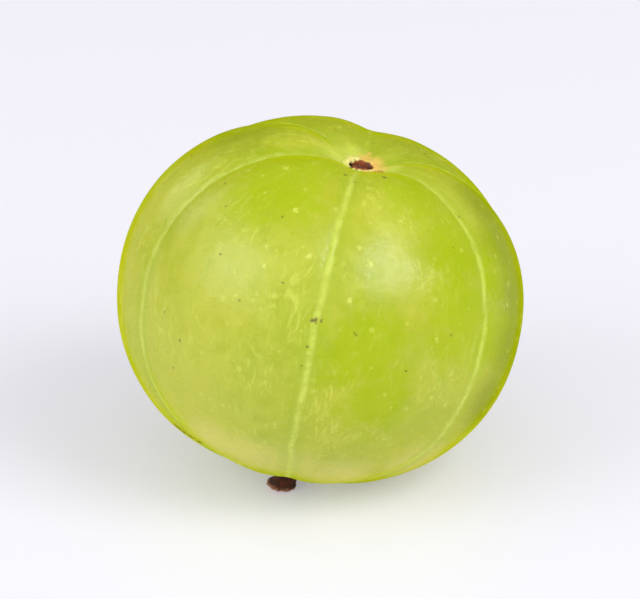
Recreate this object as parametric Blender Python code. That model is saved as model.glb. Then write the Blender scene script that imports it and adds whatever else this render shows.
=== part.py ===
# A whole Indian gooseberry that lies on its belly. Six lobes meet in shallow furrows. The blossom end has
# a small crater with the dried style in it, and the stem end has a hollow with a dried stalk stub.
# Metres, +Z up. The origin is on the surface that the fruit lies on, under the middle of its box.
# Its front, where the stalk stub shows under the edge, faces -Y.

from collections import namedtuple
from math import acos, atan2, cos, exp, pi, radians, sin, tau

import bmesh
import bpy
from mathutils import Matrix, Vector

# The plain body, a flattened ball, and how it lies
EQUATOR_RADIUS = 0.0140
POLE_HALF_HEIGHT = 0.01233
PROFILE_POWER = 2.14  # 2 is an ellipse, more is squarer at the shoulders
LEAN_ANGLE = radians(15)  # of the fruit's axis from upright
LEAN_AZIMUTH = radians(36)  # the way it leans, from +X towards +Y
REST_HEIGHT = 0.0120  # of the body's centre over the surface: it cuts the small flat spot

# The six ribs, each in a furrow: longitudes from the front round the axis, how far each swings
# round at the blossom end, and relative depths
RIB_LONGITUDES = [radians(angle) for angle in (-4, 48, 100, 173, 236, 299)]
RIB_SWINGS = [radians(angle) for angle in (-4.5, 18, 9, 0, -8, -16)]
RIB_SWING_REACH = radians(60)
RIB_DEPTHS = (0.45, 0.4, 0.6, 0.95, 0.65, 1.05)
FURROW_HALF_WIDTH = 0.0017
EQUATOR_FURROW_DEPTH = 0.00012

# The two ends. Each is shifted off the body's axis, as tangents towards the front and the side.
End = namedtuple(
    "End",
    "shift hollow_depth hollow_angle furrow_depth furrow_angle seat_radius seat_depth rim_height",
)
BLOSSOM = End(
    shift=(0.275, 0.050),
    hollow_depth=0.00177,
    hollow_angle=radians(14),
    furrow_depth=0.00056,
    furrow_angle=radians(24),
    seat_radius=0.00072,
    seat_depth=0.0005,
    rim_height=0.00012,
)
STEM = End(
    shift=(0.205, 0.024),
    hollow_depth=0.0009,
    hollow_angle=radians(10.5),
    furrow_depth=0.00018,
    furrow_angle=radians(20),
    seat_radius=0.00092,
    seat_depth=0.0006,
    rim_height=0.0,
)
SEAT_WALL_RUN = 0.0002  # how far a seat's wall slopes outwards
RIM_DISTANCE = 0.00036  # of the rim's crest outside the seat
RIM_HALF_WIDTH = 0.00022

# Slow swells of the body, as (share of radius, waves round, start angle)
SWELLS = ((0.0045, 2, 1.28), (0.0022, 3, 1.4))

# The fruit's mesh: columns in each lobe, rings from end to end, and how much rings crowd at the ends
LOBE_COLUMNS = 12
RINGS = 58
RING_CROWDING = 0.62

# The small dried pieces
PIECE_GAP = 0.0001
REMNANT_RADIUS = 0.0006
REMNANT_HEIGHT = 0.0004
REMNANT_BUMPS = 5
REMNANT_BUMP_SHARE = 0.08
REMNANT_COLUMNS = 20
REMNANT_RINGS = 10
STUB_SIDES = 24
STUB_CALYX_LOBES = 6
STUB_CALYX_WAVE = 0.14
STUB_BEND = (0.00044, 0.00048)  # of its tip, towards the front and the left
STUB_BEND_START = 0.0010  # height over the seat
STUB_TIP = 0.0021
STUB_BREAK_SLOPE = 0.40  # the broken end runs level with the surface below
# The stub's outline from its root to its broken tip, as
# (height over the seat, radius, share of the calyx's wave, share of the break's slope)
STUB_OUTLINE = (
    (0.00010, 0.00055, 0, 0),
    (0.00022, 0.00072, 0, 0),
    (0.00072, 0.00072, 0, 0),
    (0.00106, 0.00124, 1, 0),
    (0.00118, 0.00121, 1, 0),
    (0.00110, 0.00076, 0, 0),
    (0.00145, 0.00070, 0, 0.2),
    (0.00175, 0.00080, 0, 0.6),
    (0.00195, 0.00098, 0, 1),
    (0.00208, 0.00093, 0, 1),
    (0.00200, 0.00060, 0, 1),
)


def clear_scene():
    for obj in list(bpy.data.objects):
        bpy.data.objects.remove(obj)


def make_material(name, color, roughness):
    material = bpy.data.materials.new(name)
    material.use_nodes = True
    shader = material.node_tree.nodes["Principled BSDF"]
    shader.inputs["Base Color"].default_value = (*color, 1)
    shader.inputs["Roughness"].default_value = roughness
    shader.inputs["Metallic"].default_value = 0
    return material


def make_object(name, shape, material):
    mesh = bpy.data.meshes.new(name)
    bmesh.ops.recalc_face_normals(shape, faces=shape.faces)
    shape.to_mesh(mesh)
    shape.free()
    mesh.materials.append(material)
    mesh.shade_smooth()
    obj = bpy.data.objects.new(name, mesh)
    bpy.context.collection.objects.link(obj)
    return obj


def fruit_axes():
    """The turn from the fruit's own axes (front, side, axis) to the world."""
    across = sin(LEAN_ANGLE)
    axis = Vector((across * cos(LEAN_AZIMUTH), across * sin(LEAN_AZIMUTH), cos(LEAN_ANGLE)))
    front = Vector((0, -1, 0))
    front = (front - axis * front.dot(axis)).normalized()
    return Matrix((front, axis.cross(front), axis)).transposed()


def body_radius(direction):
    """From the centre to the plain body, along a unit direction on the fruit's own axes."""
    flat = direction.xy.length / EQUATOR_RADIUS
    upright = abs(direction.z) / POLE_HALF_HEIGHT
    return (flat**PROFILE_POWER + upright**PROFILE_POWER) ** (-1 / PROFILE_POWER)


def smooth(share):
    share = min(max(share, 0), 1)
    return share * share * (3 - 2 * share)


def end_depth(end, angle, radius, valley):
    """How far this end's hollow, seat, rim and furrows put the skin below the plain body."""
    hollow = end.hollow_depth * exp(-((angle / end.hollow_angle) ** 2))
    arc = radius * angle
    seat = end.seat_depth * (1 - smooth((arc - end.seat_radius) / SEAT_WALL_RUN))
    rim = end.rim_height * exp(-(((arc - end.seat_radius - RIM_DISTANCE) / RIM_HALF_WIDTH) ** 2))
    reach = angle / end.furrow_angle
    furrow = end.furrow_depth * (reach * exp(1 - reach)) ** 2
    return hollow + seat - rim + furrow * valley


def rib_longitude(rib, colatitude):
    """Where this rib runs. Rib 6 is rib 0 again, one turn on."""
    turns, rib = divmod(rib, len(RIB_LONGITUDES))
    swing = RIB_SWINGS[rib] * exp(-((colatitude / RIB_SWING_REACH) ** 2))
    return RIB_LONGITUDES[rib] + swing + turns * tau


def rib_place(turn, colatitude):
    """The longitude at this share of the way round, its phase in its lobe, and the nearest rib's depth."""
    lobes = len(RIB_LONGITUDES)
    place = turn * lobes
    lobe = min(int(place), lobes - 1)
    share = place - lobe
    start = rib_longitude(lobe, colatitude)
    end = rib_longitude(lobe + 1, colatitude)
    return start + share * (end - start), tau * share, RIB_DEPTHS[round(place) % lobes]


def skin_point(turn, colatitude):
    """A point of the skin on the fruit's own axes, by its share of the way round and its colatitude."""
    longitude, phase, depth_share = rib_place(turn, colatitude)
    across = sin(colatitude)
    toward_blossom = max(cos(colatitude), 0) ** 2
    toward_stem = max(-cos(colatitude), 0) ** 2
    direction = Vector(
        (
            across * cos(longitude) + toward_blossom * BLOSSOM.shift[0] + toward_stem * STEM.shift[0],
            across * sin(longitude) + toward_blossom * BLOSSOM.shift[1] + toward_stem * STEM.shift[1],
            cos(colatitude),
        )
    ).normalized()
    radius = body_radius(direction)
    sharpness = max(1, (radius * across / (3 * FURROW_HALF_WIDTH)) ** 2)
    valley = depth_share * (0.5 + 0.5 * cos(phase)) ** sharpness
    depth = end_depth(BLOSSOM, colatitude, radius, valley) + end_depth(STEM, pi - colatitude, radius, valley)
    depth += EQUATOR_FURROW_DEPTH * valley * across**2
    swell = sum(share * cos(waves * longitude + start) for share, waves, start in SWELLS)
    return direction * (radius * (1 + swell * across**2) - depth)


def make_fruit(material):
    shape = bmesh.new()
    columns = LOBE_COLUMNS * len(RIB_LONGITUDES)
    bmesh.ops.create_uvsphere(shape, u_segments=columns, v_segments=RINGS, radius=1)
    to_world = fruit_axes()
    for vert in shape.verts:
        turn = atan2(vert.co.y, vert.co.x) / tau % 1
        even = acos(min(max(vert.co.z, -1), 1))
        crowded = even - RING_CROWDING / 2 * sin(2 * even)
        vert.co = to_world @ skin_point(turn, crowded)
    cut = bmesh.ops.bisect_plane(
        shape,
        geom=shape.verts[:] + shape.edges[:] + shape.faces[:],
        dist=1e-7,
        plane_co=(0, 0, -REST_HEIGHT),
        plane_no=(0, 0, -1),
        clear_outer=True,
    )
    edges = [item for item in cut["geom_cut"] if isinstance(item, bmesh.types.BMEdge)]
    bmesh.ops.contextual_create(shape, geom=edges)
    fruit = make_object("fruit", shape, material)
    xs = [vert.co.x for vert in fruit.data.vertices]
    ys = [vert.co.y for vert in fruit.data.vertices]
    fruit.location = (-(min(xs) + max(xs)) / 2, -(min(ys) + max(ys)) / 2, REST_HEIGHT)
    return fruit


def put_in_seat(obj, fruit, colatitude):
    """Stands the piece on the floor of the seat at this end: its +Z points outwards, its +X to the front."""
    seat = skin_point(0, colatitude)
    front = Vector((1, 0, 0))
    outward = seat.normalized()
    front = (front - outward * front.dot(outward)).normalized()
    frame = Matrix((front, outward.cross(front), outward)).transposed()
    obj.parent = fruit
    obj.location = fruit_axes() @ seat
    obj.rotation_euler = (fruit_axes() @ frame).to_euler()


def make_style_remnant(material, fruit):
    """A low dried knob, bumpy round its side."""
    shape = bmesh.new()
    bmesh.ops.create_uvsphere(shape, u_segments=REMNANT_COLUMNS, v_segments=REMNANT_RINGS, radius=1)
    for vert in shape.verts:
        wave = cos(REMNANT_BUMPS * atan2(vert.co.y, vert.co.x))
        spread = REMNANT_RADIUS * (1 + REMNANT_BUMP_SHARE * wave * vert.co.xy.length)
        height = PIECE_GAP + REMNANT_HEIGHT * (vert.co.z + 1) / 2
        vert.co = (vert.co.x * spread, vert.co.y * spread, height)
    remnant = make_object("style_remnant", shape, material)
    put_in_seat(remnant, fruit, 0)


def stub_ring(verts, height, radius, calyx_share, break_share):
    """Puts one ring of the stub in its place: waved where it is the calyx, sloped where it is the break."""
    center = sum((vert.co for vert in verts), Vector()) / len(verts)
    bend = max((height - STUB_BEND_START) / (STUB_TIP - STUB_BEND_START), 0) ** 2
    for vert in verts:
        angle = atan2(vert.co.y - center.y, vert.co.x - center.x)
        wave = radius * (1 + calyx_share * STUB_CALYX_WAVE * cos(STUB_CALYX_LOBES * angle))
        forward = wave * cos(angle)
        vert.co = (
            forward + bend * STUB_BEND[0],
            wave * sin(angle) + bend * STUB_BEND[1],
            height + break_share * STUB_BREAK_SLOPE * forward,
        )


def make_stalk_stub(material, fruit):
    """Extruded from its root through the calyx's collar to the broken tip."""
    shape = bmesh.new()
    root = bmesh.ops.create_circle(shape, cap_ends=True, segments=STUB_SIDES, radius=1)
    stub_ring(root["verts"], *STUB_OUTLINE[0])
    top = shape.faces[:]
    spent = []
    for row in STUB_OUTLINE[1:]:
        grown = bmesh.ops.extrude_face_region(shape, geom=top)
        bmesh.ops.delete(shape, geom=spent, context="FACES_ONLY")
        verts = [item for item in grown["geom"] if isinstance(item, bmesh.types.BMVert)]
        top = [item for item in grown["geom"] if isinstance(item, bmesh.types.BMFace)]
        stub_ring(verts, *row)
        spent = top
    stub = make_object("stalk_stub", shape, material)
    put_in_seat(stub, fruit, pi)


def main():
    clear_scene()
    skin = make_material("fruit skin", (0.48, 0.56, 0.08), 0.4)
    dried_style = make_material("dried style", (0.10, 0.03, 0.01), 0.7)
    dried_stalk = make_material("dried stalk", (0.13, 0.05, 0.03), 0.8)
    fruit = make_fruit(skin)
    make_style_remnant(dried_style, fruit)
    make_stalk_stub(dried_stalk, fruit)


main()
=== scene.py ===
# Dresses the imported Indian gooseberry: its waxy ribbed skin with the blossom scar, the dried style in
# the scar, the dried stalk stub, a pale floor, soft studio light and the camera. Metres, +Z up.

from math import acos, atan2, cos, exp, pi, radians, sin, tau

import bpy
from mathutils import Matrix, Vector, noise


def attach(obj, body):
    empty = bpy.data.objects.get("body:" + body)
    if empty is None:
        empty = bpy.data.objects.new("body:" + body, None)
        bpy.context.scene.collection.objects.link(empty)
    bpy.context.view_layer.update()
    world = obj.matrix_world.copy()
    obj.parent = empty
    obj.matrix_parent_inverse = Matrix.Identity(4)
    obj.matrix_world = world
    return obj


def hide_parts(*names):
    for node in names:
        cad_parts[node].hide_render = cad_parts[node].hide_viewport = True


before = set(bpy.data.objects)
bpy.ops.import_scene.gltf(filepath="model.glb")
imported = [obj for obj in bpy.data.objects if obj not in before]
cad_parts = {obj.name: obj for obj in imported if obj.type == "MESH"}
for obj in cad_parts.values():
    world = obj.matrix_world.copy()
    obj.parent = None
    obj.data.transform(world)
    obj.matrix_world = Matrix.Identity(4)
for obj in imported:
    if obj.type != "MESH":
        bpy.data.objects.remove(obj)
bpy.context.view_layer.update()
print("frame loaded:", ", ".join(sorted(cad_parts)))

mm = 0.001

# The plain body that the fruit grew into, how it lies and its six ribs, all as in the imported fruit
body = {
    "equatorRadius": 14.0 * mm,
    "poleHalfHeight": 12.33 * mm,
    "profilePower": 2.14,  # 2 is an ellipse, more is squarer at the shoulders
    "lean": radians(15),  # of the axis from upright
    "leanAzimuth": radians(36),
    "offset": Vector((-0.0312, 0.0079, 12.0)) * mm,  # of its middle from the origin, under the box's middle
    "swells": [(0.0045, 2, 1.28), (0.0022, 3, 1.4)],  # share of radius, waves round, start angle
}
ribs = {
    "longitudes": [radians(angle) for angle in (-4, 48, 100, 173, 236, 299)],  # from the front
    "swings": [radians(angle) for angle in (-4.5, 18, 9, 0, -8, -16)],  # at the blossom end
    "swingReach": radians(60),
    "depths": [0.45, 0.4, 0.5, 0.6, 0.5, 1.0],
    "furrowHalfWidth": 1.7 * mm,
    "equatorDepth": 0.12 * mm,
}
blossomEnd = {
    "shift": (0.275, 0.050),
    "hollowDepth": 1.77 * mm,
    "hollowAngle": radians(14),
    "furrowDepth": 0.56 * mm,
    "furrowAngle": radians(24),
    "seatRadius": 0.72 * mm,
    "seatDepth": 0.5 * mm,
    "rimHeight": 0.12 * mm,
}
stemEnd = {
    "shift": (0.205, 0.024),
    "hollowDepth": 0.9 * mm,
    "hollowAngle": radians(10.5),
    "furrowDepth": 0.18 * mm,
    "furrowAngle": radians(20),
    "seatRadius": 0.92 * mm,
    "seatDepth": 0.6 * mm,
    "rimHeight": 0.0,
}
seatWall = {"run": 0.2 * mm, "rimDistance": 0.36 * mm, "rimHalfWidth": 0.22 * mm}


def fruitAxes():  # turns the fruit's own axes (front, side, axis) to the world
    across = sin(body["lean"])
    axis = Vector((across * cos(body["leanAzimuth"]), across * sin(body["leanAzimuth"]), cos(body["lean"])))
    front = Vector((0, -1, 0))
    front = (front - axis * front.dot(axis)).normalized()
    return Matrix((front, axis.cross(front), axis)).transposed()


def smooth(share):
    share = min(max(share, 0), 1)
    return share * share * (3 - 2 * share)


def hump(distance, halfWidth):
    return exp(-((distance / halfWidth) ** 2))


def bodyRadius(direction):
    flat = direction.xy.length / body["equatorRadius"]
    upright = abs(direction.z) / body["poleHalfHeight"]
    return (flat ** body["profilePower"] + upright ** body["profilePower"]) ** (-1 / body["profilePower"])


def endDepth(end, angle, radius, valley):  # how far this end puts the skin below the plain body
    arc = radius * angle
    hollow = end["hollowDepth"] * hump(angle, end["hollowAngle"])
    seat = end["seatDepth"] * (1 - smooth((arc - end["seatRadius"]) / seatWall["run"]))
    rim = end["rimHeight"] * hump(arc - end["seatRadius"] - seatWall["rimDistance"], seatWall["rimHalfWidth"])
    reach = angle / end["furrowAngle"]
    furrow = end["furrowDepth"] * (reach * exp(1 - reach)) ** 2
    return hollow + seat - rim + furrow * valley


def ribLongitude(rib, colatitude):
    turns, rib = divmod(rib, len(ribs["longitudes"]))
    swing = ribs["swings"][rib] * hump(colatitude, ribs["swingReach"])
    return ribs["longitudes"][rib] + swing + turns * tau


def skinPlace(turn, colatitude):
    # The plain skin's point on the fruit's own axes, its radius, and how far off the nearest rib it is
    lobes = len(ribs["longitudes"])
    place = turn * lobes
    lobe = min(int(place), lobes - 1)
    share = place - lobe
    start = ribLongitude(lobe, colatitude)
    end = ribLongitude(lobe + 1, colatitude)
    longitude = start + share * (end - start)
    depthShare = ribs["depths"][round(place) % lobes]
    across = sin(colatitude)
    towardBlossom = max(cos(colatitude), 0) ** 2
    towardStem = max(-cos(colatitude), 0) ** 2
    direction = Vector((
        across * cos(longitude) + towardBlossom * blossomEnd["shift"][0] + towardStem * stemEnd["shift"][0],
        across * sin(longitude) + towardBlossom * blossomEnd["shift"][1] + towardStem * stemEnd["shift"][1],
        cos(colatitude),
    )).normalized()
    radius = bodyRadius(direction)
    sharpness = max(1, (radius * across / (3 * ribs["furrowHalfWidth"])) ** 2)
    valley = depthShare * (0.5 + 0.5 * cos(tau * share)) ** sharpness
    depth = endDepth(blossomEnd, colatitude, radius, valley)
    depth += endDepth(stemEnd, pi - colatitude, radius, valley)
    depth += ribs["equatorDepth"] * valley * across**2
    swell = sum(part * cos(waves * longitude + begin) for part, waves, begin in body["swells"])
    point = direction * (radius * (1 + swell * across**2) - depth)
    ribGap = radius * across * (longitude - start if share < 0.5 else longitude - end)
    return point, direction, radius, ribGap


def skinPoint(turn, colatitude):
    return skinPlace(turn, colatitude)[0]


def onFruit(place, colatitudeDegrees):
    # A point of the skin in the world. Place counts lobes round the fruit: 0 is on rib 0, 0.5 is mid lobe.
    own = skinPoint(place / len(ribs["longitudes"]), radians(colatitudeDegrees))
    return body["offset"] + fruitAxes() @ own


# Small helpers for shader nodes: a value is a number, a colour or another node's socket

def addNode(tree, kind, **settings):
    made = tree.nodes.new(kind)
    for name, value in settings.items():
        setattr(made, name, value)
    return made


def feed(tree, socket, value):
    if isinstance(value, bpy.types.NodeSocket):
        tree.links.new(value, socket)
    else:
        socket.default_value = value


def maths(tree, operation, *values, clamp=False):
    made = addNode(tree, "ShaderNodeMath", operation=operation, use_clamp=clamp)
    for socket, value in zip(made.inputs, values):
        feed(tree, socket, value)
    return made.outputs[0]


def fade(tree, value, begin, end, low=0.0, high=1.0):  # a smooth step from low to high
    made = addNode(tree, "ShaderNodeMapRange", interpolation_type="SMOOTHSTEP")
    for socket, item in zip(made.inputs, (value, begin, end, low, high)):
        feed(tree, socket, item)
    return made.outputs[0]


def mixColor(tree, share, below, above, kind="MIX"):
    made = addNode(tree, "ShaderNodeMix", data_type="RGBA", blend_type=kind)
    feed(tree, made.inputs[0], share)
    feed(tree, made.inputs[6], below)
    feed(tree, made.inputs[7], above)
    return made.outputs[2]


def stretched(tree, vector, x, y, z):
    made = addNode(tree, "ShaderNodeMapping")
    feed(tree, made.inputs["Vector"], vector)
    made.inputs["Scale"].default_value = (x, y, z)
    return made.outputs[0]


def cloud(tree, vector, scale, detail=2.0, rough=0.5, distortion=0.0):
    made = addNode(tree, "ShaderNodeTexNoise")
    feed(tree, made.inputs["Vector"], vector)
    made.inputs["Scale"].default_value = scale
    made.inputs["Detail"].default_value = detail
    made.inputs["Roughness"].default_value = rough
    made.inputs["Distortion"].default_value = distortion
    return made.outputs[0]


def split(tree, vector):
    made = addNode(tree, "ShaderNodeSeparateXYZ")
    feed(tree, made.inputs[0], vector)
    return made.outputs


def placeInMm(tree):
    return stretched(tree, addNode(tree, "ShaderNodeTexCoord").outputs["Object"], 1 / mm, 1 / mm, 1 / mm)


def ownVector(tree, name):  # a value that the mesh carries at each point
    return addNode(tree, "ShaderNodeAttribute", attribute_name=name).outputs["Vector"]


def addBump(tree, shader, relief):  # relief in mm
    bump = addNode(tree, "ShaderNodeBump")
    bump.inputs["Strength"].default_value = 1.0
    bump.inputs["Distance"].default_value = mm
    feed(tree, bump.inputs["Height"], relief)
    feed(tree, shader.inputs["Normal"], bump.outputs[0])


def paint(red, green, blue):  # a screen colour, 0 to 255, as the linear colour that shaders take
    def linear(level):
        level /= 255
        return level / 12.92 if level <= 0.04045 else ((level + 0.055) / 1.055) ** 2.4
    return (linear(red), linear(green), linear(blue), 1)


def newMaterial(name):
    material = bpy.data.materials.new(name)
    material.use_nodes = True
    tree = material.node_tree
    return material, tree, tree.nodes["Principled BSDF"]


# The skin

skinLook = {
    "green": paint(162, 175, 8),
    "yellow": paint(176, 181, 22),
    "pale": paint(190, 196, 62),
    # the skin's vivid green, also used as painted shade in the furrows near the scar and on the right
    "vividGreenAndShade": paint(157, 178, 1),
    # painted shade: the deeper green of the shaded right rim and top of the back
    "rimShade": paint(128, 141, 2),
    "rib": paint(194, 207, 78),
    "strand": paint(203, 212, 84),
    "dot": paint(208, 216, 94),
    "speck": paint(100, 86, 12),
    "cream": paint(236, 226, 134),
    "orange": paint(242, 190, 100),
    "pit": paint(142, 64, 14),
    # the pit's dark brown, also the painted shade at the crater's left end
    "pitDarkAndShade": paint(40, 14, 4),
    "stemRing": paint(150, 140, 50),
    "russet": paint(104, 78, 26),
    # painted light: the pale cream that the bright floor throws onto the low front edge
    "floorBounceLight": paint(214, 206, 110),
    "shares": {  # how strongly each layer colours the skin
        "pale": 0.42, "strands": 0.52, "darkStrands": 0.42, "mottle": 0.24, "vividGreenAndShade": 0.64, "rimShade": 0.74,
        "backRimShade": 0.45, "floorBounceLight": 0.58, "pores": 0.34, "dots": 0.65, "ribFringe": 0.35, "straySpecks": 0.6,
        "specks": 0.85, "scratches": 0.95, "scarGlow": 0.4, "glow": 0.6, "orange": 0.65, "rim": 0.85,
        "stemRing": 0.6,
    },
    "noises": {  # waves per mm, or per unit of the stretched meridian, then detail, roughness and distortion
        "drift": (0.16, 2, 0.55, 0), "wobble": (0.9, 3, 0.6, 0), "fineWobble": (4.0, 2, 0.5, 0),
        "strands": (1.9, 2.5, 0.55, 2.2), "strandPatches": (0.24, 1, 0.5, 0),
        "darkStrands": (1.6, 2, 0.5, 0.6), "mottle": (0.75, 2.5, 0.6, 0), "crooked": (0.5, 2.5, 0.5, 0),
        "beads": (1.5, 2.5, 0.6, 0), "rimWobble": (1.6, 3, 0.5, 0), "pit": (1.1, 2, 0.5, 0),
        "roughness": (1.3, 3, 0.6, 0), "relief": (1.9, 3, 0.6, 0), "corky": (5.0, 4, 0.7, 0),
    },
    "wobbles": {  # how far a noise from 0 to 1 swings, and from where
        "wobble": (3.0, -1.5), "fineWobble": (5.0, -2.4), "crooked": (0.5, -0.25), "rimWobble": (0.9, -0.45),
    },
    "fades": {  # from where to where each value fades, in mm where it is a length, and what it fades between
        "drift": (0.36, 0.66), "strands": (0.5, 0.68), "strandPatches": (0.36, 0.62),
        "darkStrands": (0.5, 0.78), "mottle": (0.42, 0.62), "pores": (0.06, -0.04),
        "ribLine": (0.36, 0.015), "ribReach": (2.0, 1.0), "beads": (0.3, 0.62, 0.35, 1.0),
        "ribFringe": (1.3, 0.5), "ribNearScar": (1.5, 8.0, 0.35, 0.92), "thinRib": (0.55, 0.85, 0.45, 1.0),
        "straySpecks": (0.06, 0.03), "scarGlow": (2.2, 1.0), "rim": (1.62, 1.12), "crater": (1.10, 0.94),
        "pit": (0.36, 0.56, 0.35, 1.0),
        "craterLeftShade": (2.05, 2.35),  # painted shade: along X, from the black shade at the crater's left end to its red-brown
        "stemRing": (2.6, 1.2),
        "roughness": (0.3, 0.7, 0.26, 0.37),
        "mirror": (0.25, 0.8, 0.52, 0.0),  # the dull wax bloom takes the mirror off at a slant
        "coat": (0.3, 0.7, 0.08, 0.0),
    },
    "edges": {  # which wobble makes the edge of each kind of mark uneven, and its reach in half widths
        "pale": ("wobble", 1.6), "vividGreenAndShade": ("wobble", 2.0), "rimShade": ("even", 2.2), "backRimShade": ("wobble", 2.4),
        "floorBounceLight": ("even", 2.6), "dots": ("fineWobble", 1.7), "specks": ("fineWobble", 1.6),
        "scratches": ("fineWobble", 1.6), "glow": ("wobble", 2.0), "orange": ("even", 2.5),
        "pits": ("wobble", 1.2), "paleWall": ("even", 1.5),
    },
    "strewn": {"pores": (1.15, 0.45), "straySpecks": (0.42, 0.55)},  # points per mm, and the share left out
    "poreSpread": 0.22,
    "strandStretch": (8, 8, 4.0),
    "darkStrandStretch": (12, 12, 2.2),
    "craterWobble": 0.3,  # share of the rim's
    "translucent": 0.55,
    "scatterLength": 1.6 * mm,
    "scatterColors": (1.0, 0.85, 0.25),
    "greenDulling": 0.7,  # takes the mirror off the greenest places and the painted shade too
    "corkyRoughness": 0.7,
    "coatRoughness": 0.18,
    "relief": 0.034,  # in mm, as the three below
    "strandRelief": 0.004,
    "poreDepth": 0.003,
    "corkyRelief": 0.08,
}
ribWidths = [1.08, 1.25, 0.7, 0.6, 0.7, 1.2]  # of each rib's line, against the one in the skin's fades
# Marks that one can see in the skin: lobe place, colatitude in degrees, half width in mm
skinMarks = {
    "specks": [
        (0.0, 80.9, 0.15), (0.016, 80.7, 0.13), (5.984, 81.1, 0.13), (5.44, 70.9, 0.08), (5.27, 85.5, 0.09),
        (5.33, 98.1, 0.10), (0.20, 82.7, 0.11), (0.51, 91.1, 0.09), (5.98, 88.7, 0.06), (5.12, 50.2, 0.08),
        (5.11, 38.0, 0.08), (5.30, 56.7, 0.07), (4.56, 53.0, 0.10), (2.92, 15.6, 0.07), (2.25, 24.8, 0.08),
        (5.80, 72.9, 0.06), (0.79, 53.4, 0.09), (5.97, 94.3, 0.06), (0.01, 24.0, 0.12), (0.43, 19.0, 0.15),
        (5.88, 21.8, 0.10),
    ],
    "scratches": [(4.87, 140.0, 0.26), (4.84, 138.0, 0.20), (4.90, 142.4, 0.25), (4.93, 144.6, 0.18)],
    "pits": [(0.88, 8.0, 0.27), (5.5, 5.4, 0.36), (5.85, 5.2, 0.32)],
    "paleWall": [(4.0, 4.7, 0.22), (3.5, 4.9, 0.18), (4.5, 4.8, 0.18)],
    "orange": [(2.3, 6.0, 0.42), (1.4, 6.2, 0.42), (2.9, 6.8, 0.30), (2.87, 10.0, 0.12), (0.4, 6.8, 0.25)],
    # glow: a pale yellow halo right of the scar, and painted highlights above and left of it
    "glow": [(1.39, 11.0, 0.55), (4.3, 8.4, 0.8), (5.2, 7.4, 0.5), (3.4, 9.0, 0.5)],
    "dots": [
        (5.70, 48.6, 0.14), (5.66, 64.5, 0.16), (5.88, 62.9, 0.17), (5.36, 33.4, 0.16), (0.15, 56.7, 0.15),
        (0.22, 61.1, 0.17), (0.15, 73.9, 0.18), (0.65, 82.1, 0.14), (5.94, 42.6, 0.15), (5.68, 69.5, 0.13),
        (0.99, 68.9, 0.14),
    ],
    # vivid green places: partly the skin's own colour, partly painted shade in the furrow flanks near the
    # scar and on the right front
    "vividGreenAndShade": [
        (1.12, 66.0, 1.6), (1.06, 84.0, 1.6), (5.36, 30.0, 2.2), (5.45, 40.0, 2.6), (0.62, 30.0, 1.8),
        (0.80, 76.0, 2.4), (0.80, 54.0, 2.2), (0.28, 88.0, 2.4), (0.40, 101.0, 1.8), (1.25, 62.0, 1.9),
        (1.2, 84.0, 1.9),
    ],
    "pale": [
        (4.77, 62.0, 2.6), (5.30, 112.0, 6.0), (4.44, 9.0, 1.6), (0.35, 40.0, 2.2), (1.15, 40.0, 2.0),
        (5.5, 74.0, 4.0),
    ],
    # painted shade: a deeper green on the right rim, and in the next list at the top of the back
    "rimShade": [(1.46, 73.0, 2.3), (1.54, 58.0, 2.3), (1.40, 88.0, 2.3), (1.66, 44.0, 2.0), (1.28, 102.0, 1.8)],
    "backRimShade": [(3.2, 34.0, 2.8), (3.8, 32.0, 2.8), (2.6, 31.0, 2.8), (4.4, 40.0, 2.4), (2.0, 38.0, 2.4)],
    # painted light from the bright floor along the low front edge
    "floorBounceLight": [
        (5.40, 133.0, 1.2), (5.66, 137.0, 1.4), (0.0, 139.0, 1.5), (0.48, 140.0, 1.5), (1.02, 128.0, 1.4),
    ],
}


def faded(tree, value, name):
    return fade(tree, value, *skinLook["fades"][name])


def patches(tree, vector, name):  # a noise, faded in where it is high
    return faded(tree, cloud(tree, vector, *skinLook["noises"][name]), name)


def layered(tree, color, here, name, above):  # puts the colour above over the one so far, by its share
    return mixColor(tree, maths(tree, "MULTIPLY", here, skinLook["shares"][name]), color, above)


def near(tree, at, name):
    # The largest share of any such mark here: 1 in its middle half, and 0 beyond its reach
    edge, reach = skinLook["edges"][name]
    share = None
    for place, colatitude, halfWidth in skinMarks[name]:
        gap = addNode(tree, "ShaderNodeVectorMath", operation="DISTANCE")
        feed(tree, gap.inputs[0], at["inMm"])
        gap.inputs[1].default_value = onFruit(place, colatitude) / mm
        off = maths(tree, "ADD", gap.outputs["Value"], maths(tree, "MULTIPLY", at[edge], halfWidth))
        spot = fade(tree, off, halfWidth * reach, halfWidth * 0.5)
        share = spot if share is None else maths(tree, "MAXIMUM", share, spot)
    return share


def strewn(tree, at, name):  # the nearest strewn point: how far, whether it is kept, and a chance size
    scale, leftOut = skinLook["strewn"][name]
    points = addNode(tree, "ShaderNodeTexVoronoi", feature="F1")
    feed(tree, points.inputs["Vector"], at["inMm"])
    points.inputs["Scale"].default_value = scale
    chance = addNode(tree, "ShaderNodeSeparateColor")
    feed(tree, chance.inputs[0], points.outputs["Color"])
    kept = maths(tree, "GREATER_THAN", chance.outputs[0], leftOut)
    return points.outputs["Distance"], kept, chance.outputs[1]


def skinPlaces(tree):  # where a point of the skin is, in mm, and the wobbles that make edges uneven
    inMm = placeInMm(tree)
    ribGap, ribReach, ribWidth = split(tree, ownVector(tree, "ribPlace"))
    blossomGap, stemGap = split(tree, ownVector(tree, "endPlace"))[:2]
    at = {
        "inMm": inMm, "meridian": ownVector(tree, "meridian"), "ribGap": ribGap, "ribReach": ribReach,
        "ribWidth": ribWidth, "blossomGap": blossomGap, "stemGap": stemGap, "even": 0.0,
    }
    for name, (swing, start) in skinLook["wobbles"].items():
        wave = cloud(tree, inMm, *skinLook["noises"][name])
        at[name] = maths(tree, "MULTIPLY_ADD", wave, swing, start)
    return at


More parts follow.
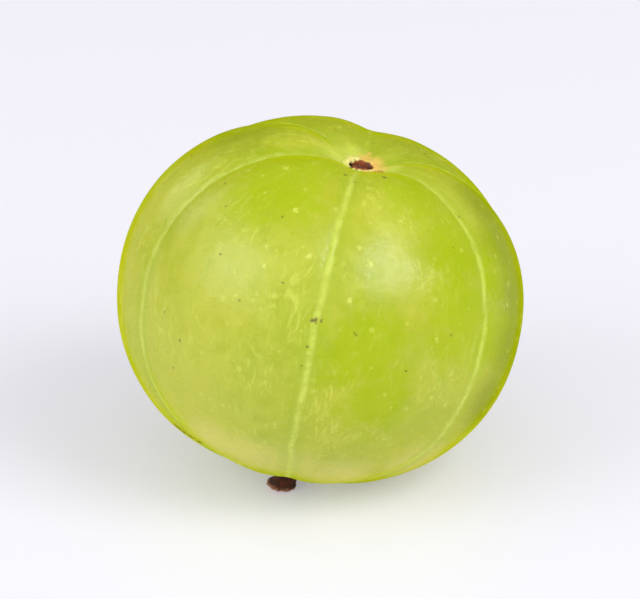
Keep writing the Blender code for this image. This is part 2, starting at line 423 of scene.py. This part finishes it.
def fleshColor(tree, at):  # the flesh's slow drift, then pale and green strands in it, along the meridians
    look = skinLook
    color = mixColor(tree, patches(tree, at["inMm"], "drift"), look["green"], look["yellow"])
    color = layered(tree, color, near(tree, at, "pale"), "pale", look["pale"])
    along = stretched(tree, at["meridian"], *look["strandStretch"])
    strands = maths(tree, "MULTIPLY", patches(tree, along, "strands"),
                    patches(tree, at["inMm"], "strandPatches"))
    color = layered(tree, color, strands, "strands", look["strand"])
    narrow = stretched(tree, at["meridian"], *look["darkStrandStretch"])
    color = layered(tree, color, patches(tree, narrow, "darkStrands"), "darkStrands", look["vividGreenAndShade"])
    color = layered(tree, color, patches(tree, at["inMm"], "mottle"), "mottle", look["pale"])
    return color, strands


def greensOver(tree, at, color):  # vivid green places, partly the skin's own and partly painted shade; painted shade as deeper green on the right rim and at the top of the back; painted floor light on the low front edge
    look, shares = skinLook, skinLook["shares"]
    vividGreenAndShade = near(tree, at, "vividGreenAndShade")
    color = layered(tree, color, vividGreenAndShade, "vividGreenAndShade", look["vividGreenAndShade"])
    rimShade = maths(tree, "MULTIPLY", near(tree, at, "rimShade"), shares["rimShade"])
    backRimShade = maths(tree, "MULTIPLY", near(tree, at, "backRimShade"), shares["backRimShade"])
    rimShade = maths(tree, "MAXIMUM", rimShade, backRimShade)
    color = mixColor(tree, rimShade, color, look["rimShade"])
    color = layered(tree, color, near(tree, at, "floorBounceLight"), "floorBounceLight", look["floorBounceLight"])
    return color, maths(tree, "MAXIMUM", vividGreenAndShade, rimShade)


def poresOver(tree, at, color):  # pale pores strewn all over, then the larger pale dots
    gap, kept, size = strewn(tree, at, "pores")
    edge = maths(tree, "SUBTRACT", gap, maths(tree, "MULTIPLY", size, skinLook["poreSpread"]))
    pores = maths(tree, "MULTIPLY", faded(tree, edge, "pores"), kept)
    color = layered(tree, color, pores, "pores", skinLook["dot"])
    color = layered(tree, color, near(tree, at, "dots"), "dots", skinLook["dot"])
    return color, pores


def ribsOver(tree, at, color):  # six pale lines, a little crooked and beaded, each in a greener fringe
    gap = maths(tree, "ABSOLUTE", maths(tree, "ADD", at["ribGap"], at["crooked"]))
    off = maths(tree, "DIVIDE", gap, at["ribWidth"])
    beads = maths(tree, "MULTIPLY", patches(tree, at["inMm"], "beads"),
                  faded(tree, at["ribReach"], "ribReach"))
    line = maths(tree, "MULTIPLY", faded(tree, off, "ribLine"), beads)
    fringe = faded(tree, at["ribReach"], "ribFringe")
    color = layered(tree, color, fringe, "ribFringe", skinLook["vividGreenAndShade"])
    strength = maths(tree, "MULTIPLY", faded(tree, at["blossomGap"], "ribNearScar"),
                     faded(tree, at["ribWidth"], "thinRib"))
    return mixColor(tree, maths(tree, "MULTIPLY", line, strength), color, skinLook["rib"])


def specksOver(tree, at, color):  # stray dark specks, the ones that show, and the scratches low at the left
    look = skinLook
    gap, kept = strewn(tree, at, "straySpecks")[:2]
    stray = maths(tree, "MULTIPLY", faded(tree, gap, "straySpecks"), kept)
    specks = maths(tree, "MAXIMUM", maths(tree, "MULTIPLY", stray, look["shares"]["straySpecks"]),
                   near(tree, at, "specks"))
    color = layered(tree, color, specks, "specks", look["speck"])
    return layered(tree, color, near(tree, at, "scratches"), "scratches", look["russet"])


def scarOver(tree, at, color):  # a cream and orange corky rim round the dark crater, and a second small pit
    look, shares = skinLook, skinLook["shares"]
    off = maths(tree, "ADD", at["blossomGap"], at["rimWobble"])
    # a pale halo round the scar, with painted highlights above and left of it
    glow = maths(tree, "MAXIMUM", maths(tree, "MULTIPLY", faded(tree, off, "scarGlow"), shares["scarGlow"]),
                 maths(tree, "MULTIPLY", near(tree, at, "glow"), shares["glow"]))
    color = mixColor(tree, glow, color, look["strand"])
    orange = near(tree, at, "orange")
    color = layered(tree, color, orange, "orange", look["orange"])
    rim = faded(tree, off, "rim")
    color = layered(tree, color, rim, "rim", mixColor(tree, orange, look["cream"], look["orange"]))
    wobble = maths(tree, "MULTIPLY", at["rimWobble"], look["craterWobble"])
    crater = faded(tree, maths(tree, "ADD", at["blossomGap"], wobble), "crater")
    pitColor = mixColor(tree, patches(tree, at["inMm"], "pit"), look["pitDarkAndShade"], look["pit"])
    # painted shade: the crater turns black towards its left end
    leftEndShade = faded(tree, split(tree, at["inMm"])[0], "craterLeftShade")
    pitColor = mixColor(tree, leftEndShade, look["pitDarkAndShade"], pitColor)
    color = mixColor(tree, maths(tree, "MAXIMUM", crater, near(tree, at, "pits")), color, pitColor)
    color = mixColor(tree, near(tree, at, "paleWall"), color, look["cream"])
    return color, rim


def stemHollowOver(tree, at, color):
    ring = faded(tree, maths(tree, "ADD", at["stemGap"], at["rimWobble"]), "stemRing")
    return layered(tree, color, ring, "stemRing", skinLook["stemRing"])


def addWaxyGloss(tree, at, shader, greenAndShaded, rim):  # duller where the skin is greenest and where shade is painted, rough on the corky rim
    look = skinLook
    roughness = maths(tree, "MAXIMUM", patches(tree, at["inMm"], "roughness"),
                      maths(tree, "MULTIPLY", rim, look["corkyRoughness"]))
    feed(tree, shader.inputs["Roughness"], roughness)
    slant = addNode(tree, "ShaderNodeLayerWeight").outputs["Facing"]
    bright = maths(tree, "SUBTRACT", 1.0, maths(tree, "MULTIPLY", greenAndShaded, look["greenDulling"]))
    mirror = maths(tree, "MULTIPLY", faded(tree, slant, "mirror"), bright)
    feed(tree, shader.inputs["Specular IOR Level"], mirror)
    feed(tree, shader.inputs["Coat Weight"], faded(tree, slant, "coat"))
    shader.inputs["Coat Roughness"].default_value = look["coatRoughness"]


def addSkinRelief(tree, at, shader, strands, pores, rim):  # uneven skin, strands, pores and the corky rim
    look, noises = skinLook, skinLook["noises"]
    relief = maths(tree, "MULTIPLY", cloud(tree, at["inMm"], *noises["relief"]), look["relief"])
    relief = maths(tree, "ADD", relief, maths(tree, "MULTIPLY", strands, look["strandRelief"]))
    relief = maths(tree, "SUBTRACT", relief, maths(tree, "MULTIPLY", pores, look["poreDepth"]))
    grain = maths(tree, "MULTIPLY", cloud(tree, at["inMm"], *noises["corky"]), rim)
    addBump(tree, shader, maths(tree, "ADD", relief, maths(tree, "MULTIPLY", grain, look["corkyRelief"])))


def makeSkinMaterial():
    material, tree, shader = newMaterial("waxy gooseberry skin")
    at = skinPlaces(tree)
    color, strands = fleshColor(tree, at)
    color, greenAndShaded = greensOver(tree, at, color)
    color, pores = poresOver(tree, at, color)
    color = ribsOver(tree, at, color)
    color = specksOver(tree, at, color)
    color, rim = scarOver(tree, at, color)
    feed(tree, shader.inputs["Base Color"], stemHollowOver(tree, at, color))
    shader.inputs["Subsurface Weight"].default_value = skinLook["translucent"]
    shader.inputs["Subsurface Radius"].default_value = skinLook["scatterColors"]
    shader.inputs["Subsurface Scale"].default_value = skinLook["scatterLength"]
    addWaxyGloss(tree, at, shader, greenAndShaded, rim)
    addSkinRelief(tree, at, shader, strands, pores, rim)
    return material


skinMesh = {
    "columnsPerLobe": 64,
    "rings": 256,
    "ribCrowding": 0.62,  # columns crowd at the ribs, and rings at the ends
    "endCrowding": 0.62,
    "slowRelief": 0.05 * mm,
    "slowScale": 0.2 / mm,
    "smallRelief": 0.007 * mm,
    "smallScale": 0.8 / mm,
    "ribCord": 0.035 * mm,
    "ribCordHalfWidth": 0.16 * mm,
    "ribGroove": 0.06 * mm,
    "ribGrooveHalfWidth": 0.5 * mm,
    "cordMean": 0.8,  # share of the cord's height, and how much it varies along the cord
    "cordUneven": 0.5,
    "cordScale": 0.6 / mm,
    "blossomMargin": 1.2 * mm,  # the cords fade in from here to twice as far from the end
    "stemMargin": 2 * mm,
    "rimRelief": 0.07 * mm,
    "rimDistance": 1.15 * mm,
    "rimHalfWidth": 0.4 * mm,
    "rimScale": 2.2 / mm,
    "rimGrit": 0.4,  # share of the rim's relief
    "rimGritScale": 5.5 / mm,
    "smallHollows": [  # place, colatitude, depth, half width: a second pit, and a dip of the crater's lip
        (0.88, 7.8, 0.16 * mm, 0.2 * mm), (5.4, 7.6, 0.26 * mm, 0.6 * mm),
    ],
}


def fineRelief(point, blossomArc, stemArc, ribGap):
    form = skinMesh
    lift = form["slowRelief"] * noise.noise(point * form["slowScale"])
    lift += form["smallRelief"] * noise.noise(point * form["smallScale"])
    awayFromEnds = smooth(blossomArc / form["blossomMargin"] - 1) * smooth(stemArc / form["stemMargin"] - 1)
    uneven = form["cordMean"] + form["cordUneven"] * noise.noise(point * form["cordScale"])
    cord = form["ribCord"] * uneven * hump(ribGap, form["ribCordHalfWidth"])
    groove = form["ribGroove"] * hump(ribGap, form["ribGrooveHalfWidth"])
    lift += awayFromEnds * (cord - groove)
    rim = form["rimRelief"] * hump(blossomArc - form["rimDistance"], form["rimHalfWidth"])
    lift += rim * noise.noise(point * form["rimScale"])
    lift += rim * form["rimGrit"] * noise.noise(point * form["rimGritScale"])
    return lift


def makeFruitSkin():
    form = skinMesh
    lobes = len(ribs["longitudes"])
    bpy.ops.object.select_all(action="DESELECT")
    bpy.ops.mesh.primitive_uv_sphere_add(
        segments=lobes * form["columnsPerLobe"], ring_count=form["rings"],
        radius=body["equatorRadius"], location=body["offset"])
    skin = bpy.context.object
    skin.name = skin.data.name = "fruitSkin"
    bpy.ops.object.transform_apply(location=True, rotation=True, scale=True)
    mesh = skin.data
    toWorld = fruitAxes()
    hollows = [(skinPoint(place / lobes, radians(colatitude)), depth, halfWidth)
               for place, colatitude, depth, halfWidth in form["smallHollows"]]
    points, meridians, ribPlaces, endPlaces = [], [], [], []
    for vert in mesh.vertices:
        ray = (vert.co - body["offset"]).normalized()
        place = (atan2(ray.y, ray.x) / tau % 1) * lobes
        place -= form["ribCrowding"] * sin(tau * place) / tau
        turn = min(max(place / lobes, 0), 1 - 1e-9)
        even = acos(min(max(ray.z, -1), 1))
        colatitude = even - form["endCrowding"] / 2 * sin(2 * even)
        point, direction, radius, ribGap = skinPlace(turn, colatitude)
        blossomArc, stemArc = radius * colatitude, radius * (pi - colatitude)
        lift = fineRelief(point, blossomArc, stemArc, ribGap)
        lift -= sum(depth * hump((point - center).length, halfWidth) for center, depth, halfWidth in hollows)
        points.append(toWorld @ (point + direction * lift))
        meridians += [cos(turn * tau), sin(turn * tau), colatitude]
        ribPlaces += [ribGap / mm, abs(ribGap) / mm, ribWidths[round(turn * lobes) % lobes]]
        endPlaces += [blossomArc / mm, stemArc / mm, 0]
    for name, values in (("meridian", meridians), ("ribPlace", ribPlaces), ("endPlace", endPlaces)):
        mesh.attributes.new(name, "FLOAT_VECTOR", "POINT").data.foreach_set("vector", values)
    for vert, point in zip(mesh.vertices, points):
        vert.co = point + body["offset"]
    mesh.update()
    bpy.ops.object.mode_set(mode="EDIT")
    bpy.ops.mesh.select_all(action="SELECT")
    bpy.ops.mesh.bisect(plane_co=(0, 0, 0), plane_no=(0, 0, -1), use_fill=True, clear_outer=True,
                        threshold=0.0001 * mm)
    bpy.ops.mesh.select_all(action="SELECT")
    bpy.ops.mesh.normals_make_consistent(inside=False)
    bpy.ops.object.mode_set(mode="OBJECT")
    bpy.ops.object.shade_smooth()
    mesh.materials.append(makeSkinMaterial())
    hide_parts("fruit")
    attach(skin, "root")
    print("fruit skin made:", len(mesh.polygons), "faces")


makeFruitSkin()


# The dried style in the scar's crater and the stalk stub stand in seats at the two ends

def seatFrame(colatitude):  # +Z out of the fruit, +X to the front, from the middle of the seat's floor
    seat = skinPoint(0, colatitude)
    outward = seat.normalized()
    front = Vector((1, 0, 0))
    front = (front - outward * front.dot(outward)).normalized()
    own = Matrix((front, outward.cross(front), outward)).transposed()
    return Matrix.Translation(body["offset"] + fruitAxes() @ seat) @ (fruitAxes() @ own).to_4x4()


def finishPiece(piece, node, place, material):
    piece.matrix_world = place
    bpy.ops.object.transform_apply(location=True, rotation=True, scale=True)
    bpy.ops.object.mode_set(mode="EDIT")
    bpy.ops.mesh.select_all(action="SELECT")
    bpy.ops.mesh.normals_make_consistent(inside=False)
    bpy.ops.object.mode_set(mode="OBJECT")
    bpy.ops.object.shade_smooth()
    piece.data.materials.append(material)
    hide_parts(node)
    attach(piece, "root")
    print(piece.name, "made:", len(piece.data.polygons), "faces")


def newBall(name, segments, rings):
    bpy.ops.object.select_all(action="DESELECT")
    bpy.ops.mesh.primitive_uv_sphere_add(segments=segments, ring_count=rings, radius=1)
    ball = bpy.context.object
    ball.name = ball.data.name = name
    return ball


styleForm = {
    "segments": 120,
    "rings": 72,
    "floorGap": 0.1 * mm,
    "radius": 0.61 * mm,
    "height": 0.42 * mm,
    "domePower": 0.8,
    "branches": 3,  # the stumps of the style's branches, each forked
    "branchShare": 0.16,
    "lumps": 0.07 * mm,
    "lumpScale": 2.4 / mm,
    "grit": 0.018 * mm,
    "gritScale": 9 / mm,
    "evenFoot": 0.15 * mm,  # the foot stays even up to here, and roughens over the run above
    "evenRun": 0.1 * mm,
    "patchScale": 3.2,
    "grain": 0.03,
    "grainScale": 14,
    "roughness": 0.55,
    "dark": paint(62, 26, 10),
    "red": paint(158, 80, 26),
    # the colour of the painted shade at the crater's left end and in the style's hollows
    "edge": paint(20, 10, 6),
}


def makeStyleMaterial():
    look = styleForm
    material, tree, shader = newMaterial("dried style")
    inMm = placeInMm(tree)
    redPatches = fade(tree, cloud(tree, inMm, look["patchScale"], detail=3, rough=0.6), 0.38, 0.62)
    color = mixColor(tree, redPatches, look["dark"], look["red"])
    # painted shade: near black at the crater's left end and in the hollows between the lumps
    leftEndShade = faded(tree, split(tree, inMm)[0], "craterLeftShade")
    color = mixColor(tree, leftEndShade, look["edge"], color)
    hollows = fade(tree, addNode(tree, "ShaderNodeNewGeometry").outputs["Pointiness"], 0.5, 0.42)
    color = mixColor(tree, hollows, color, look["edge"])
    feed(tree, shader.inputs["Base Color"], color)
    shader.inputs["Roughness"].default_value = look["roughness"]
    grain = cloud(tree, inMm, look["grainScale"], detail=3, rough=0.7)
    addBump(tree, shader, maths(tree, "MULTIPLY", grain, look["grain"]))
    return material


def makeStyle():
    form = styleForm
    style = newBall("driedStyle", form["segments"], form["rings"])
    for vert in style.data.vertices:
        across, angle = vert.co.xy.length, atan2(vert.co.y, vert.co.x)
        fork = cos(form["branches"] * angle) + 0.5 * cos(2 * form["branches"] * angle)
        spread = form["radius"] * (1 + form["branchShare"] * 0.5 * (fork - 1) * across)
        dome = form["height"] * ((vert.co.z + 1) / 2) ** form["domePower"]
        point = Vector((vert.co.x * spread, vert.co.y * spread, form["floorGap"] + dome))
        lift = form["lumps"] * noise.noise(point * form["lumpScale"])
        lift += form["grit"] * noise.noise(point * form["gritScale"])
        vert.co = point + vert.co * lift * smooth((point.z - form["evenFoot"]) / form["evenRun"])
    finishPiece(style, "style_remnant", seatFrame(0), makeStyleMaterial())


stubForm = {
    "segments": 120,
    "rings": 100,
    # height over the seat and radius in mm, then the shares of the sepals' wave, of the break's slope
    # and of the fibres' relief, from the root to the pith of the broken tip
    "outline": [
        (0.10, 0.00, 0, 0, 0), (0.10, 0.52, 0, 0, 0), (0.22, 0.70, 0, 0, 0.2), (0.70, 0.71, 0, 0, 0.2),
        (0.92, 0.96, 0.6, 0, 0.3), (1.05, 1.21, 1, 0, 0.5), (1.13, 1.24, 1, 0, 0.5), (1.19, 1.16, 1, 0, 0.5),
        (1.14, 0.86, 0.4, 0, 0.6), (1.20, 0.72, 0, 0, 1), (1.45, 0.69, 0, 0.2, 1), (1.70, 0.76, 0, 0.6, 1),
        (1.92, 0.94, 0, 1, 1), (2.03, 0.99, 0, 1, 1.2), (2.09, 0.92, 0, 1, 1.4), (2.04, 0.72, 0, 1, 1),
        (1.97, 0.50, 0, 1, 0.8), (1.95, 0.28, 0, 1, 0.6), (1.98, 0.00, 0, 1, 0),
    ],
    "sepals": 6,
    "sepalWave": 0.13,
    "sepalPower": 1.5,  # more has broader tips
    "rounding": 0.4,  # of the outline's corners
    "bend": (0.44 * mm, 0.48 * mm),  # of the tip, to the front and to the left
    "bendStart": 1.0 * mm,
    "tip": 2.1 * mm,
    "breakSlope": 0.40,
    "ragged": 0.07 * mm,
    "raggedWaves": (4.5, 2),  # round the break, and per mm from its middle
    "fibres": [(0.05 * mm, 0.14, 3.2), (0.02 * mm, 0.105, 8.5)],  # relief, change per mm of height, scale
    "lumps": 0.05 * mm,
    "lumpScale": 1.6 / mm,
    "evenMiddle": 0.3 * mm,  # the relief dies away inside it
    "brokenFrom": (1.86, 2.0),  # mm up the stub, where the pale broken end fades in
    "fringeShare": 0.65,
    "hollowShadeShare": 0.8,
    "fibreScale": 1.8,
    "fibreRelief": 0.09,
    "redScale": 1.1,
    "grain": 0.03,
    "grainScale": 12,
    "roughness": 0.68,
    "sheen": 0.15,
    "brown": paint(74, 22, 10),
    "dark": paint(30, 11, 6),
    "red": paint(100, 31, 16),
    "fringe": paint(204, 138, 118),
}


def makeStubMaterial():
    look = stubForm
    material, tree, shader = newMaterial("dried stalk")
    inMm = placeInMm(tree)
    own = ownVector(tree, "stubPlace")
    lengthwise = stretched(tree, own, 5, 5, 0.8)
    fibres = cloud(tree, lengthwise, look["fibreScale"], detail=4, rough=0.65, distortion=0.3)
    color = mixColor(tree, fade(tree, fibres, 0.36, 0.64), look["dark"], look["brown"])
    redPatches = cloud(tree, inMm, look["redScale"], detail=2)
    color = mixColor(tree, fade(tree, redPatches, 0.45, 0.66), color, look["red"])
    # painted shade: darker brown in the stub's hollows
    hollows = fade(tree, addNode(tree, "ShaderNodeNewGeometry").outputs["Pointiness"], 0.49, 0.42)
    color = mixColor(tree, maths(tree, "MULTIPLY", hollows, look["hollowShadeShare"]), color, look["dark"])
    ragged = maths(tree, "ADD", split(tree, own)[2], maths(tree, "MULTIPLY_ADD", fibres, 0.3, -0.15))
    brokenEnd = fade(tree, ragged, *look["brokenFrom"])
    color = mixColor(tree, maths(tree, "MULTIPLY", brokenEnd, look["fringeShare"]), color, look["fringe"])
    feed(tree, shader.inputs["Base Color"], color)
    shader.inputs["Roughness"].default_value = look["roughness"]
    shader.inputs["Sheen Weight"].default_value = look["sheen"]
    grain = cloud(tree, inMm, look["grainScale"], detail=3, rough=0.7)
    addBump(tree, shader, maths(tree, "ADD", maths(tree, "MULTIPLY", fibres, look["fibreRelief"]),
                                maths(tree, "MULTIPLY", grain, look["grain"])))
    return material


def alongOutline(rows, runs, run, rounding):  # the outline's values at this run from its root
    row = min(max(index for index, begin in enumerate(runs) if begin <= run + 1e-9), len(rows) - 2)
    share = (run - runs[row]) / (runs[row + 1] - runs[row])
    share = (1 - rounding) * share + rounding * smooth(share)
    return [low + (high - low) * share for low, high in zip(rows[row], rows[row + 1])]


def makeStub():
    form = stubForm
    stub = newBall("driedStalkStub", form["segments"], form["rings"])
    rows = form["outline"]
    runs = [0]
    for before, after in zip(rows, rows[1:]):
        runs.append(runs[-1] + (Vector(after[:2]) - Vector(before[:2])).length)
    places = []
    for vert in stub.data.vertices:
        angle = atan2(vert.co.y, vert.co.x)
        run = acos(min(max(-vert.co.z, -1), 1)) / pi * runs[-1]
        height, radius, sepal, slope, fibre = alongOutline(rows, runs, run, form["rounding"])
        places += [cos(angle) * radius, sin(angle) * radius, height]
        lift = 0
        for relief, rise, scale in form["fibres"]:
            lift += relief * fibre * noise.noise(Vector((cos(angle), sin(angle), height * rise)) * scale)
        around, outward = form["raggedWaves"]
        ragged = noise.noise(Vector((cos(angle) * around, sin(angle) * around, radius * outward)))
        height, radius = height * mm, radius * mm
        sepalShape = 1 - 2 * abs(sin(form["sepals"] / 2 * angle)) ** form["sepalPower"]
        spread = radius * (1 + sepal * form["sepalWave"] * sepalShape)
        point = Vector((spread * cos(angle), spread * sin(angle), height))
        lift += form["lumps"] * min(fibre, 1) * noise.noise(point * form["lumpScale"])
        spread = max(spread + lift * min(radius / form["evenMiddle"], 1), 0)
        bend = max((height - form["bendStart"]) / (form["tip"] - form["bendStart"]), 0) ** 2
        forward = spread * cos(angle)
        height += slope * (form["breakSlope"] * forward + form["ragged"] * ragged)
        vert.co = (forward + bend * form["bend"][0], spread * sin(angle) + bend * form["bend"][1], height)
    stub.data.attributes.new("stubPlace", "FLOAT_VECTOR", "POINT").data.foreach_set("vector", places)
    finishPiece(stub, "stalk_stub", seatFrame(pi), makeStubMaterial())


makeStyle()
makeStub()


# The floor, the light and the camera

studio = {
    "elevation": radians(24),
    "focalLength": 300,
    "sensorWidth": 36,
    "frameWidth": 44.0 * mm,  # what the frame is wide at the fruit
    "aim": Vector((0, 0, 12.0 * mm)),
    "nearest": 0.01,  # that the camera sees
    "floorSize": 3.0,
    "floorDrop": 0.01 * mm,  # keeps the floor out of the flat spot's face
    "floorColor": (0.60, 0.59, 0.64, 1),
    "floorGlowColor": (0.94, 0.93, 1.0, 1),  # a white sheet lit from below too
    "floorGlow": 0.31,
    "floorRoughness": 0.4,
    "worldColor": (0.98, 0.985, 1.0, 1),
    "worldEven": 0.24,
    "worldGlows": [  # broad soft glows: towards, strength
        (Vector((0, 0, 1)), 0.31),
        (Vector((0, -0.9, 0.4)), 0.83),
        (Vector((-1, 0, 0.2)), 0.40),
        (Vector((1, 0, 0.2)), 0.26),
    ],
    "boxDistance": 0.5,
    "boxes": [
        {"name": "leftSoftBox", "towards": Vector((-0.73, -0.43, 0.53)), "size": 0.32, "power": 0.75},
        {"name": "rightSoftBox", "towards": Vector((0.62, -0.42, 0.67)), "size": 0.29, "power": 1.25},
    ],
    "gleams": [  # a small window behind that only the waxy gloss picks up
        {"name": "backWindow", "towards": Vector((-0.68, 0.543, 0.493)), "size": 0.24, "power": 0.23},
    ],
}


def makeFloor():
    bpy.ops.object.select_all(action="DESELECT")
    bpy.ops.mesh.primitive_plane_add(size=studio["floorSize"], location=(0, 0, -studio["floorDrop"]))
    floor = bpy.context.object
    floor.name = "paleFloor"
    material, tree, shader = newMaterial("pale studio floor")
    shader.inputs["Base Color"].default_value = studio["floorColor"]
    shader.inputs["Roughness"].default_value = studio["floorRoughness"]
    shader.inputs["Emission Color"].default_value = studio["floorGlowColor"]
    shader.inputs["Emission Strength"].default_value = studio["floorGlow"]
    floor.data.materials.append(material)


def addSoftBox(box, glossOnly):
    direction = box["towards"].normalized()
    bpy.ops.object.light_add(type="AREA", location=studio["aim"] + direction * studio["boxDistance"])
    lamp = bpy.context.object
    lamp.name = box["name"]
    lamp.data.shape = "SQUARE"
    lamp.data.size = box["size"]
    lamp.data.energy = box["power"]
    lamp.rotation_euler = direction.to_track_quat("Z", "Y").to_euler()
    lamp.visible_diffuse = not glossOnly


def makeLight():
    for box in studio["boxes"]:
        addSoftBox(box, False)
    for box in studio["gleams"]:
        addSoftBox(box, True)
    world = bpy.data.worlds.new("white studio")
    bpy.context.scene.world = world
    world.use_nodes = True
    tree = world.node_tree
    background = tree.nodes["Background"]
    background.inputs["Color"].default_value = studio["worldColor"]
    skyward = addNode(tree, "ShaderNodeTexCoord").outputs["Generated"]
    strength = studio["worldEven"]
    for towards, share in studio["worldGlows"]:
        facing = addNode(tree, "ShaderNodeVectorMath", operation="DOT_PRODUCT")
        feed(tree, facing.inputs[0], skyward)
        facing.inputs[1].default_value = towards.normalized()
        glow = maths(tree, "POWER", maths(tree, "MAXIMUM", facing.outputs["Value"], 0), 2)
        strength = maths(tree, "MULTIPLY_ADD", glow, share, strength)
    feed(tree, background.inputs["Strength"], strength)
    bpy.context.scene.view_settings.view_transform = "Standard"
    print("floor and light made")


def makeCamera():
    distance = studio["frameWidth"] * studio["focalLength"] / studio["sensorWidth"]
    back = Vector((0, -cos(studio["elevation"]), sin(studio["elevation"])))
    bpy.ops.object.camera_add(location=studio["aim"] + back * distance)
    camera = bpy.context.object
    camera.rotation_euler = back.to_track_quat("Z", "Y").to_euler()
    camera.data.lens = studio["focalLength"]
    camera.data.sensor_width = studio["sensorWidth"]
    camera.data.clip_start = studio["nearest"]
    bpy.context.scene.camera = camera
    print("camera made")


makeFloor()
makeLight()
makeCamera()
